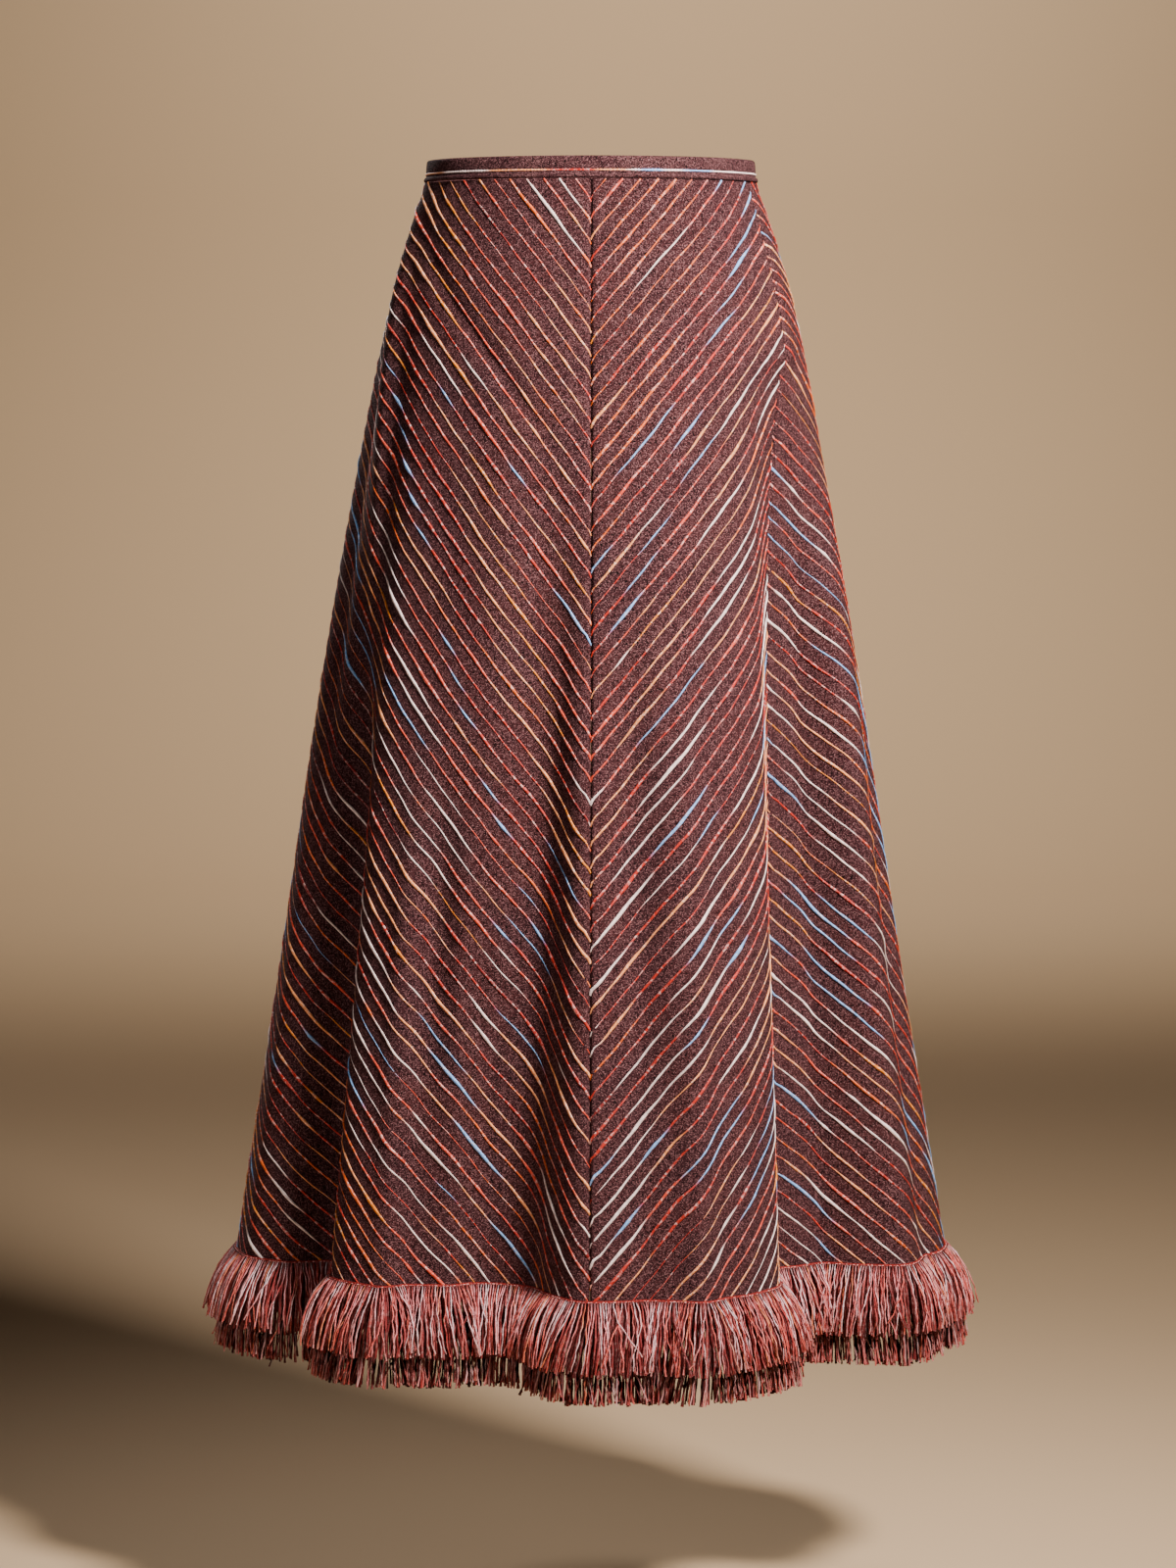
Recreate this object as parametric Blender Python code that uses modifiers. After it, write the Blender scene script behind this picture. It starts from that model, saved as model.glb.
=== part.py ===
"""Gored A-line midi skirt with a narrow waistband and a two-tier fringe round the hem.

The cloth is one hollow tube that opens from an oval waist into soft flutes at the hem.
Four gores make it up, joined at centre front, centre back and both sides, and a concealed
zip closes the centre back. The frame is in metres: the origin is the centre of the waist at
half the waistband's height, +Z is up, -Y is the front and +X is the right-hand side of
someone who looks at the front. A "drop" is a distance down from the waistband's top edge.
"""

import math
from collections import namedtuple

import bmesh
import bpy
from mathutils import Matrix, Vector

OBJECT_NAME = "fringe_skirt"

# Waistband and cloth
BAND_TOP = 0.0075
BAND_HEIGHT = 0.0155
BAND_WALL = 0.0022
BAND_PROUD = 0.0006
BAND_COLUMNS = 56
BAND_EDGE_BEVEL = 0.0006
BEVEL_ANGLE = 50
CLOTH_WALL = 0.0016
SEAM_GAP = 0.0005
PANEL_TOP_DROP = 0.0160
HEM_DROP = 0.790

# Mesh of the gores: rows closer together over the hip, columns as wide at the hem
PANEL_ROWS = 12
ROW_CROWDING = 1.2
COLUMN_WIDTH = 0.0142

# Fringe: a strip sewn on each face of the hem, with locks that hang from its lower edge
STRIP_DROP = 0.780
STRIP_WALL = 0.0020
STRIP_GAP = 0.0003
TIP_UNEVEN = 0.0022
UNEVEN_TURN = 2.399
UNEVEN_BEAT = 0.71

# Concealed zip at the centre back
TAPE_WIDTH = 0.024
TAPE_LENGTH = 0.182
TAPE_WALL = 0.0009
TAPE_GAP = 0.0008
TAPE_STEPS = 7
SLIDER_DROP = 0.0080
SLIDER_WIDTH = 0.0056
SLIDER_LENGTH = 0.0085
SLIDER_PLATE = 0.0012
SLIDER_GAP = 0.0003
LUG_WIDTH = 0.0011
LUG_DEPTH = 0.0034
LUG_SPACING = 0.0038
PIN_RADIUS = 0.0006
TAB_LENGTH = 0.0190
TAB_WIDTH = 0.0048
TAB_WALL = 0.0010
NECK_LENGTH = 0.0045
NECK_WIDTH = 0.0021
EYE_RADIUS = 0.0015
EYE_BORE = 0.0009
EYE_WIDTH = 0.0023
ROD_SIDES = 16
SINK = 0.0001

# Plain outline of the skirt, without its folds, at each drop
Section = namedtuple("Section", "drop half_width front_depth back_depth")
SECTIONS = [
    Section(0.000, 0.1158, 0.0890, 0.0840),
    Section(0.018, 0.1180, 0.0905, 0.0860),
    Section(0.040, 0.1256, 0.0953, 0.0930),
    Section(0.100, 0.1437, 0.1060, 0.1120),
    Section(0.190, 0.1622, 0.1200, 0.1310),
    Section(0.350, 0.1905, 0.1430, 0.1520),
    Section(0.600, 0.2286, 0.1770, 0.1790),
    Section(HEM_DROP, 0.2588, 0.2015, 0.1966),
]

# Line of each fold from waist to hem: its turn from the front at the waist and at the hem,
# in degrees towards +X, how far it reaches from the axis at the hem, where it sets in, and
# how late it deepens on its way down (1 is evenly, more is later)
Fold = namedtuple("Fold", "name waist_turn hem_turn hem_reach start_drop growth")
FOLDS = [
    Fold("centre_front", 0, 0, 0.1970, 0.10, 1.15),
    Fold("front_right_swell", 20, 17.5, 0.2125, 0.10, 1.15),
    Fold("front_right_slope", 40, 30.0, 0.2065, 0.14, 0.85),
    Fold("right_fold_edge", 57, 41.0, 0.1975, 0.15, 0.65),
    Fold("right_seam", 77, 56, 0.1570, 0.14, 0.62),
    Fold("right_flute_near", 83, 65, 0.1888, 0.13, 0.80),
    Fold("right_flute", 92, 76.5, 0.2392, 0.12, 1.00),
    Fold("right_side", 99, 92, 0.2588, 0.10, 1.15),
    Fold("right_back", 112, 108, 0.2462, 0.15, 1.15),
    Fold("back_right_valley", 130, 124, 0.1940, 0.15, 1.15),
    Fold("back_right_ridge", 146, 142, 0.2175, 0.15, 1.15),
    Fold("back_right_slope", 163, 161, 0.2035, 0.15, 1.15),
    Fold("centre_back", 180, 180, 0.1840, 0.15, 1.15),
    Fold("back_left_ridge", 198, 199, 0.2125, 0.15, 1.15),
    Fold("back_left_slope", 215, 216, 0.2115, 0.15, 1.15),
    Fold("back_left_valley", 231, 233, 0.1870, 0.15, 1.15),
    Fold("left_back", 247, 250, 0.2422, 0.15, 1.15),
    Fold("left_seam", 262, 266, 0.2578, 0.10, 1.15),
    Fold("left_side", 270, 275, 0.2548, 0.10, 1.15),
    Fold("left_flute", 279, 285.5, 0.2295, 0.10, 1.15),
    Fold("left_valley", 290, 292.5, 0.1895, 0.10, 1.15),
    Fold("left_fold_edge", 300, 302.5, 0.2165, 0.10, 1.15),
    Fold("left_ridge", 318, 317.5, 0.2045, 0.10, 1.15),
    Fold("left_hollow", 336, 331, 0.1535, 0.30, 1.15),
    Fold("left_rise", 350, 349, 0.1790, 0.20, 1.15),
]
FOLD_NAMES = [fold.name for fold in FOLDS]
TURN_EASE = 0.75

# Gores, counter-clockwise seen from above, each from one seam line to the next
Panel = namedtuple("Panel", "name start_seam end_seam")
PANELS = [
    Panel("front_right", "centre_front", "right_seam"),
    Panel("back_right", "right_seam", "centre_back"),
    Panel("back_left", "centre_back", "left_seam"),
    Panel("front_left", "left_seam", "centre_front"),
]

# Tiers of fringe: which face of the cloth they lie on, and the drop, spread about the axis
# and width (as a share of a mesh column) of a lock at its bend and at its tip
Tier = namedtuple(
    "Tier",
    "name colour outside root_start root_width"
    " bend_drop bend_spread bend_width tip_drop tip_spread tip_width",
)
TIERS = [
    Tier("fringe_upper", "fringe", True, 0.0, 0.76, 0.806, 0.040, 0.76, 0.827, 0.058, 0.46),
    Tier("fringe_lower", "fringe_deep", False, 0.24, 0.76, 0.812, 0.018, 0.76, 0.845, 0.040, 0.46),
]

COLOURS = {
    "crepe": (0.105, 0.046, 0.038),
    "crepe_band": (0.090, 0.040, 0.034),
    "fringe": (0.42, 0.13, 0.10),
    "fringe_deep": (0.20, 0.052, 0.040),
    "tape": (0.075, 0.034, 0.028),
    "metal": (0.30, 0.20, 0.16),
}
ROUGHNESS = {"metal": 0.35}
METALLIC = {"metal": 1.0}


def clear_scene():
    """Remove whatever the scene holds."""
    for item in list(bpy.data.objects):
        bpy.data.objects.remove(item, do_unlink=True)


def make_collection(name):
    """Return a new collection linked to the scene."""
    collection = bpy.data.collections.new(name)
    bpy.context.scene.collection.children.link(collection)
    return collection


def make_material(name, colour_name):
    """Return a Principled material in one of the named colours."""
    material = bpy.data.materials.new(name)
    material.use_nodes = True
    shader = material.node_tree.nodes["Principled BSDF"]
    shader.inputs["Base Color"].default_value = (*COLOURS[colour_name], 1.0)
    shader.inputs["Roughness"].default_value = ROUGHNESS.get(colour_name, 0.85)
    shader.inputs["Metallic"].default_value = METALLIC.get(colour_name, 0.0)
    return material


def add_object(name, mesh, collection, colour_name):
    """Wrap a mesh in an object with a material of its own."""
    item = bpy.data.objects.new(name, mesh)
    mesh.materials.append(make_material(name + "_material", colour_name))
    collection.objects.link(item)
    return item


def cubic(before, start, end, after, share):
    """Value between start and end on a curve with the given slopes at its ends."""
    square = share * share
    cube = square * share
    return (
        (2 * cube - 3 * square + 1) * start
        + (cube - 2 * square + share) * before
        + (3 * square - 2 * cube) * end
        + (cube - square) * after
    )


def section_slope(row, column):
    """Rate at which a column of SECTIONS changes with the drop, at one of its rows."""
    above = SECTIONS[max(row - 1, 0)]
    below = SECTIONS[min(row + 1, len(SECTIONS) - 1)]
    return (below[column] - above[column]) / (below.drop - above.drop)


def section_at(drop):
    """Half width, front depth and back depth of the plain outline at a drop."""
    row = 0
    while row < len(SECTIONS) - 2 and drop > SECTIONS[row + 1].drop:
        row += 1
    start = SECTIONS[row]
    end = SECTIONS[row + 1]
    step = end.drop - start.drop
    beyond = max(0.0, drop - end.drop)
    share = min(1.0, (drop - start.drop) / step)
    sizes = []
    for column in (1, 2, 3):
        slope_in = section_slope(row, column) * step
        slope_out = section_slope(row + 1, column) * step
        size = cubic(slope_in, start[column], end[column], slope_out, share)
        sizes.append(size + slope_out / step * beyond)
    return sizes


def oval_reach(turn, drop):
    """Distance from the axis to the plain outline, in one direction."""
    half_width, front_depth, back_depth = section_at(drop)
    depth = front_depth if math.cos(turn) >= 0 else back_depth
    return 1.0 / math.hypot(math.sin(turn) / half_width, math.cos(turn) / depth)


def fold_point(fold, drop):
    """Place of a fold's line at a drop, seen from above."""
    sweep = (drop / HEM_DROP) ** TURN_EASE
    turn = math.radians(fold.waist_turn + (fold.hem_turn - fold.waist_turn) * sweep)
    fall = max(0.0, (drop - fold.start_drop) / (HEM_DROP - fold.start_drop))
    depth = fold.hem_reach - oval_reach(math.radians(fold.hem_turn), HEM_DROP)
    reach = oval_reach(turn, drop) + depth * fall**fold.growth
    return Vector((reach * math.sin(turn), -reach * math.cos(turn)))


def outline_point(place, drop):
    """Point of the cloth's outer face; a place is a fold's number in FOLDS plus a share."""
    number = math.floor(place)
    share = place - number
    count = len(FOLDS)
    before, start, end, after = [
        fold_point(FOLDS[(number + step) % count], drop) for step in (-1, 0, 1, 2)
    ]
    reach_before = math.sqrt((start - before).length)
    reach_here = math.sqrt((end - start).length)
    reach_after = math.sqrt((after - end).length)
    lead_in = (
        (start - before) / reach_before
        - (end - before) / (reach_before + reach_here)
        + (end - start) / reach_here
    ) * reach_here
    lead_out = (
        (end - start) / reach_here
        - (after - start) / (reach_here + reach_after)
        + (after - end) / reach_after
    ) * reach_here
    return cubic(lead_in, start, end, lead_out, share)


def height_at(drop):
    """Height in the skirt's frame at a drop."""
    return BAND_TOP - drop


def column_places(panel):
    """Places of a gore's mesh columns, about evenly wide at the hem."""
    first = FOLD_NAMES.index(panel.start_seam)
    last = FOLD_NAMES.index(panel.end_seam)
    if last <= first:
        last += len(FOLDS)
    places = []
    for number in range(first, last):
        chord = fold_point(FOLDS[(number + 1) % len(FOLDS)], HEM_DROP)
        chord -= fold_point(FOLDS[number % len(FOLDS)], HEM_DROP)
        steps = max(2, round(chord.length / COLUMN_WIDTH))
        places += [number + step / steps for step in range(steps)]
    return places + [last]


def ring_places():
    """Places of all the mesh columns, once round the skirt."""
    return [place for panel in PANELS for place in column_places(panel)[:-1]]


def corner_offsets(points):
    """For each corner of a closed outline, the move that shifts its sides outward by 1."""
    offsets = []
    count = len(points)
    for number in range(count):
        side_in = (points[number] - points[number - 1]).normalized()
        side_out = (points[(number + 1) % count] - points[number]).normalized()
        face_in = Vector((side_in.y, -side_in.x))
        face_out = Vector((side_out.y, -side_out.x))
        middle = (face_in + face_out).normalized()
        offsets.append(middle / middle.dot(face_in))
    return offsets


def panel_drops():
    """Drops of the mesh rows of a gore, with one along the top of the fringe's strip."""
    span = STRIP_DROP - PANEL_TOP_DROP
    rows = [
        PANEL_TOP_DROP + span * (row / PANEL_ROWS) ** ROW_CROWDING
        for row in range(PANEL_ROWS + 1)
    ]
    return rows + [HEM_DROP]


def sheet_from_rows(name, rows):
    """Open surface through rows of points that run counter-clockwise, facing outward."""
    shape = bmesh.new()
    grid = [[shape.verts.new(point) for point in row] for row in rows]
    for upper, lower in zip(grid, grid[1:]):
        for column in range(len(rows[0]) - 1):
            beside = column + 1
            shape.faces.new((upper[column], lower[column], lower[beside], upper[beside]))
    mesh = bpy.data.meshes.new(name)
    shape.to_mesh(mesh)
    shape.free()
    return mesh


def thicken(item, wall):
    """Give an open surface a wall on its inner side."""
    solidify = item.modifiers.new("wall", "SOLIDIFY")
    solidify.thickness = wall
    solidify.offset = -1.0
    solidify.use_even_offset = True
    solidify.use_quality_normals = True


def narrow_ends(outline):
    """Draw the two ends of an outline in by half a seam's gap each."""
    outline[0] += (outline[1] - outline[0]).normalized() * SEAM_GAP / 2
    outline[-1] += (outline[-2] - outline[-1]).normalized() * SEAM_GAP / 2


def make_gore(collection, panel):
    """One gore, a sheet of cloth from seam to seam and from waistband to hem."""
    places = column_places(panel)
    rows = []
    for drop in panel_drops():
        outline = [outline_point(place, drop) for place in places]
        narrow_ends(outline)
        rows.append([(point.x, point.y, height_at(drop)) for point in outline])
    gore = add_object(panel.name, sheet_from_rows(panel.name, rows), collection, "crepe")
    thicken(gore, CLOTH_WALL)


def make_waistband(collection):
    """Narrow band whose ends meet at the centre back, a little proud of the cloth."""
    centre_back = FOLD_NAMES.index("centre_back")
    places = [
        centre_back + len(FOLDS) * column / BAND_COLUMNS for column in range(BAND_COLUMNS)
    ]
    rows = []
    for drop in (0.0, BAND_HEIGHT / 2, BAND_HEIGHT):
        outline = [outline_point(place, drop) for place in places]
        outline = [
            point + offset * BAND_PROUD
            for point, offset in zip(outline, corner_offsets(outline))
        ]
        outline.append(outline[0].copy())
        narrow_ends(outline)
        rows.append([(point.x, point.y, height_at(drop)) for point in outline])
    band = add_object("waistband", sheet_from_rows("waistband", rows), collection, "crepe_band")
    thicken(band, BAND_WALL)
    bevel = band.modifiers.new("rolled_edge", "BEVEL")
    bevel.width = BAND_EDGE_BEVEL
    bevel.segments = 1
    bevel.limit_method = "ANGLE"
    bevel.angle_limit = math.radians(BEVEL_ANGLE)


def uneven(number):
    """Small repeatable variation between -1 and 1 for the locks' tips."""
    return math.sin(number * UNEVEN_TURN) * math.cos(number * UNEVEN_BEAT)


def fringe_levels(tier):
    """Closed outline and height of a tier at its strip's edges and its locks' bends and tips."""
    lift = STRIP_GAP + STRIP_WALL if tier.outside else -(CLOTH_WALL + STRIP_GAP)
    places = ring_places()
    levels = []
    for drop, spread in (
        (STRIP_DROP, 0.0),
        (HEM_DROP, 0.0),
        (tier.bend_drop, tier.bend_spread),
        (tier.tip_drop, tier.tip_spread),
    ):
        outline = [outline_point(place, drop) * (1.0 + spread) for place in places]
        offsets = corner_offsets(outline)
        outline = [point + offset * lift for point, offset in zip(outline, offsets)]
        levels.append((outline, height_at(drop)))
    return levels


def make_fringe(collection, tier):
    """A strip along the hem and its locks, cut as one comb-like sheet and thickened."""
    levels = fringe_levels(tier)
    count = len(levels[0][0])
    shape = bmesh.new()

    def corner(level, number, share, longer=0.0):
        outline, height = levels[level]
        point = outline[number].lerp(outline[(number + 1) % count], share)
        return shape.verts.new((point.x, point.y, height - longer))

    root_end = tier.root_start + tier.root_width
    shares = sorted({0.0, tier.root_start, root_end} - {1.0})
    top, bottom = [
        [corner(level, number, share) for number in range(count) for share in shares]
        for level in (0, 1)
    ]
    for column in range(len(top)):
        beside = (column + 1) % len(top)
        shape.faces.new((top[column], bottom[column], bottom[beside], top[beside]))
    middle = tier.root_start + tier.root_width / 2
    for number in range(count):
        column = number * len(shares) + shares.index(tier.root_start)
        left = bottom[column]
        right = bottom[(column + 1) % len(bottom)]
        longer = TIP_UNEVEN * uneven(number)
        for level, width, drop in ((2, tier.bend_width, 0.0), (3, tier.tip_width, longer)):
            next_left = corner(level, number, middle - width / 2, drop)
            next_right = corner(level, number, middle + width / 2, drop)
            shape.faces.new((left, next_left, next_right, right))
            left = next_left
            right = next_right
    mesh = bpy.data.meshes.new(tier.name)
    shape.to_mesh(mesh)
    shape.free()
    thicken(add_object(tier.name, mesh, collection, tier.colour), STRIP_WALL)


def centre_back_depth(drop):
    """Distance from the axis to the cloth's outer face at the centre back."""
    return outline_point(FOLD_NAMES.index("centre_back"), drop).y


def make_zip_tape(collection):
    """Plain tape behind the centre-back seam, below the waistband."""
    centre_back = FOLD_NAMES.index("centre_back")
    inward = Vector((0.0, -CLOTH_WALL - TAPE_GAP))
    rows = []
    for step in range(TAPE_STEPS + 1):
        drop = PANEL_TOP_DROP + TAPE_LENGTH * step / TAPE_STEPS
        seam = outline_point(centre_back, drop)
        row = []
        for side in (-1, 0, 1):
            fold_gap = (fold_point(FOLDS[centre_back + 1], drop) - seam).length
            place = centre_back + side * TAPE_WIDTH / 2 / fold_gap
            point = outline_point(place, drop) + inward
            row.append((point.x, point.y, height_at(drop)))
        rows.append(row)
    tape = add_object("zip_tape", sheet_from_rows("zip_tape", rows), collection, "tape")
    thicken(tape, TAPE_WALL)


def fill_box(shape, width, depth, height, centre):
    """Add a box to a bmesh."""
    made = bmesh.ops.create_cube(shape, size=1.0)
    bmesh.ops.scale(shape, vec=(width, depth, height), verts=made["verts"])
    bmesh.ops.translate(shape, vec=centre, verts=made["verts"])


def fill_rod(shape, radius, length):
    """Add a rod along X, centred on the origin, to a bmesh."""
    made = bmesh.ops.create_cone(
        shape,
        cap_ends=True,
        segments=ROD_SIDES,
        radius1=radius,
        radius2=radius,
        depth=length,
    )
    quarter_turn = Matrix.Rotation(math.radians(90), 3, "Y")
    bmesh.ops.rotate(shape, cent=(0, 0, 0), matrix=quarter_turn, verts=made["verts"])


def hard_piece(name, collection, lean, fill, *sizes):
    """Metal piece at the hinge pin, leaning outward at its foot by an angle."""
    shape = bmesh.new()
    fill(shape, *sizes)
    mesh = bpy.data.meshes.new(name)
    shape.to_mesh(mesh)
    shape.free()
    piece = add_object(name, mesh, collection, "metal")
    piece.location = pivot_point()
    piece.rotation_euler.x = lean
    return piece


def combine(piece, other, operation):
    """Join another solid to a piece, or cut it out of the piece."""
    boolean = piece.modifiers.new(other.name, "BOOLEAN")
    boolean.operation = operation
    boolean.solver = "EXACT"
    boolean.object = other
    other.hide_render = True
    other.display_type = "WIRE"


def pivot_point():
    """Middle of the pull tab's hinge pin, behind the waistband at the centre back."""
    standoff = BAND_PROUD + SLIDER_GAP + SLIDER_PLATE + LUG_DEPTH / 2
    return Vector((0.0, centre_back_depth(SLIDER_DROP) + standoff, height_at(SLIDER_DROP)))


def make_zip_slider(collection, cutters):
    """Slider closed at the top of the zip: a plate with two lugs and a pin across them."""
    half = SLIDER_LENGTH / 2
    rise = centre_back_depth(SLIDER_DROP + half) - centre_back_depth(SLIDER_DROP - half)
    lean = math.atan2(rise, SLIDER_LENGTH)
    plate_centre = (0, -(LUG_DEPTH + SLIDER_PLATE) / 2, 0)
    slider = hard_piece(
        "zip_slider", collection, lean,
        fill_box, SLIDER_WIDTH, SLIDER_PLATE, SLIDER_LENGTH, plate_centre,
    )
    for name, side in (("lug_left", -1), ("lug_right", 1)):
        lug_centre = (side * LUG_SPACING / 2, -SINK, 0)
        lug = hard_piece(
            name, cutters, lean, fill_box, LUG_WIDTH, LUG_DEPTH, LUG_DEPTH, lug_centre
        )
        combine(slider, lug, "UNION")
    pin = hard_piece("pin", cutters, lean, fill_rod, PIN_RADIUS, LUG_SPACING)
    combine(slider, pin, "UNION")


def make_zip_pull(collection, cutters):
    """Pull tab that hangs from the slider's pin and rests on the cloth."""
    foot_drop = SLIDER_DROP + TAB_LENGTH
    foot_depth = centre_back_depth(foot_drop) + SLIDER_GAP + TAB_WALL
    lean = math.atan2(foot_depth - pivot_point().y, TAB_LENGTH)
    tab_centre = (0, 0, -(TAB_LENGTH + NECK_LENGTH) / 2)
    neck_length = NECK_LENGTH + SINK - (EYE_RADIUS + EYE_BORE) / 2
    neck_centre = (0, 0, -(NECK_LENGTH + SINK) + neck_length / 2)
    tab = hard_piece(
        "zip_pull", collection, lean,
        fill_box, TAB_WIDTH, TAB_WALL, TAB_LENGTH - NECK_LENGTH, tab_centre,
    )
    neck = hard_piece(
        "neck", cutters, lean,
        fill_box, NECK_WIDTH, TAB_WALL - SINK, neck_length, neck_centre,
    )
    eye = hard_piece("eye", cutters, lean, fill_rod, EYE_RADIUS, EYE_WIDTH)
    bore = hard_piece("eye_bore", cutters, lean, fill_rod, EYE_BORE, 2 * EYE_WIDTH)
    combine(tab, neck, "UNION")
    combine(tab, eye, "UNION")
    combine(tab, bore, "DIFFERENCE")


def main():
    clear_scene()
    parts = make_collection(OBJECT_NAME)
    cutters = make_collection(OBJECT_NAME + "_cutters")
    make_waistband(parts)
    for panel in PANELS:
        make_gore(parts, panel)
    for tier in TIERS:
        make_fringe(parts, tier)
    make_zip_tape(parts)
    make_zip_slider(parts, cutters)
    make_zip_pull(parts, cutters)


main()
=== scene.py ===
import math
import random

import bmesh
import bpy
import numpy as np
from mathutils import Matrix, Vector


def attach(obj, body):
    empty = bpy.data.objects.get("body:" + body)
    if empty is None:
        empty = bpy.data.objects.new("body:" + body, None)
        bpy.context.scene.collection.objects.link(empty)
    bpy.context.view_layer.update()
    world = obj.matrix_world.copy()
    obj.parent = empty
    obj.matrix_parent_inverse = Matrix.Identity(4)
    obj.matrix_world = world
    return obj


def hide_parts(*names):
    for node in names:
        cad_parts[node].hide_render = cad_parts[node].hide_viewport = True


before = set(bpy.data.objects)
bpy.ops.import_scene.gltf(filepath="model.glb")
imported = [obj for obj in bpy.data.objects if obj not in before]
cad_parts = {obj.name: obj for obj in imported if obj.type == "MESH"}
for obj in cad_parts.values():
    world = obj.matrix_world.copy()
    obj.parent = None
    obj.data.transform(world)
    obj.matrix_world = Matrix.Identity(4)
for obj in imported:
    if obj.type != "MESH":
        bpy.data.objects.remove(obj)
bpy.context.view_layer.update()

# a full turn in radians, near enough for phases
fullTurn = 6.28

# the skirt's form, from the same sections and folds as its solids (metres; a drop is measured
# from the waistband's top); the wall here and the gores' seam gap below are smaller than theirs

form = {
    "bandTop": 0.0075,
    "panelTop": 0.0160,
    "hemDrop": 0.790,
    "turnEase": 0.75,
    "hemSamples": 1400,
    "seamGap": 0.0005,
    "clothWall": 0.0014,
}

# drop, half width, front depth, back depth
sections = np.array([
    (0.000, 0.1158, 0.0890, 0.0840),
    (0.018, 0.1180, 0.0905, 0.0860),
    (0.040, 0.1256, 0.0953, 0.0930),
    (0.100, 0.1437, 0.1060, 0.1120),
    (0.190, 0.1622, 0.1200, 0.1310),
    (0.350, 0.1905, 0.1430, 0.1520),
    (0.600, 0.2286, 0.1770, 0.1790),
    (0.790, 0.2588, 0.2015, 0.1966),
])

# turn at the waist, turn at the hem, reach at the hem, drop where it sets in, growth
folds = {
    "centreFront": (0, 0, 0.1970, 0.10, 1.15),
    "frontRightSwell": (20, 17.5, 0.2125, 0.10, 1.15),
    "frontRightSlope": (40, 30.0, 0.2065, 0.14, 0.85),
    "rightFoldEdge": (57, 41.0, 0.1975, 0.15, 0.65),
    "rightSeam": (77, 56, 0.1570, 0.14, 0.62),
    "rightFluteNear": (83, 65, 0.1888, 0.13, 0.80),
    "rightFlute": (92, 76.5, 0.2392, 0.12, 1.00),
    "rightSide": (99, 92, 0.2588, 0.10, 1.15),
    "rightBack": (112, 108, 0.2462, 0.15, 1.15),
    "backRightValley": (130, 124, 0.1940, 0.15, 1.15),
    "backRightRidge": (146, 142, 0.2175, 0.15, 1.15),
    "backRightSlope": (163, 161, 0.2035, 0.15, 1.15),
    "centreBack": (180, 180, 0.1840, 0.15, 1.15),
    "backLeftRidge": (198, 199, 0.2125, 0.15, 1.15),
    "backLeftSlope": (215, 216, 0.2115, 0.15, 1.15),
    "backLeftValley": (231, 233, 0.1870, 0.15, 1.15),
    "leftBack": (247, 250, 0.2422, 0.15, 1.15),
    "leftSeam": (262, 266, 0.2578, 0.10, 1.15),
    "leftSide": (270, 275, 0.2548, 0.10, 1.15),
    "leftFlute": (279, 285.5, 0.2295, 0.10, 1.15),
    "leftValley": (290, 292.5, 0.1895, 0.10, 1.15),
    "leftFoldEdge": (300, 302.5, 0.2165, 0.10, 1.15),
    "leftRidge": (318, 317.5, 0.2045, 0.10, 1.15),
    "leftHollow": (336, 331, 0.1535, 0.30, 1.15),
    "leftRise": (350, 349, 0.1790, 0.20, 1.15),
}
foldNames = list(folds)
foldTable = np.array(list(folds.values()))
foldCount = len(foldNames)


def cubic(leadIn, start, end, leadOut, share):
    square = share * share
    cube = square * share
    return ((2 * cube - 3 * square + 1) * start + (cube - 2 * square + share) * leadIn
            + (3 * square - 2 * cube) * end + (cube - square) * leadOut)


def sectionAt(drop):
    drops = sections[:, 0]
    row = min(max(int(np.searchsorted(drops, drop, side="left")) - 1, 0), len(drops) - 2)
    slopes = np.zeros_like(sections[:, 1:])
    for i in range(len(drops)):
        above = sections[max(i - 1, 0)]
        below = sections[min(i + 1, len(drops) - 1)]
        slopes[i] = (below[1:] - above[1:]) / (below[0] - above[0])
    step = drops[row + 1] - drops[row]
    share = min(1.0, (drop - drops[row]) / step)
    sizes = cubic(slopes[row] * step, sections[row, 1:], sections[row + 1, 1:], slopes[row + 1] * step, share)
    return sizes + slopes[row + 1] * max(0.0, drop - drops[row + 1])


def ovalReach(turn, drop):
    halfWidth, frontDepth, backDepth = sectionAt(drop)
    depth = np.where(np.cos(turn) >= 0, frontDepth, backDepth)
    return 1.0 / np.hypot(np.sin(turn) / halfWidth, np.cos(turn) / depth)


hemTurn = np.radians(foldTable[:, 1])
foldDepth = foldTable[:, 2] - ovalReach(hemTurn, form["hemDrop"])


def foldPoints(drop):
    sweep = (max(drop, 0.0) / form["hemDrop"]) ** form["turnEase"]
    turn = np.radians(foldTable[:, 0] + (foldTable[:, 1] - foldTable[:, 0]) * sweep)
    fall = np.maximum(0.0, (drop - foldTable[:, 3]) / (form["hemDrop"] - foldTable[:, 3]))
    reach = ovalReach(turn, drop) + foldDepth * fall ** foldTable[:, 4]
    return np.column_stack([reach * np.sin(turn), -reach * np.cos(turn)])


def outline(places, drop):
    # points of the cloth's outer face at one drop; a place is a fold's number plus a share
    points = foldPoints(drop)
    number = np.floor(places).astype(int)
    share = (places - number)[:, None]
    before, start, end, after = [points[(number + k) % foldCount] for k in (-1, 0, 1, 2)]

    def root(vectors):
        return np.sqrt(np.linalg.norm(vectors, axis=1))[:, None]

    a, b, c = root(start - before), root(end - start), root(after - end)
    leadIn = ((start - before) / a - (end - before) / (a + b) + (end - start) / b) * b
    leadOut = ((end - start) / b - (after - start) / (b + c) + (after - end) / c) * b
    return cubic(leadIn, start, end, leadOut, share)


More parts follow.
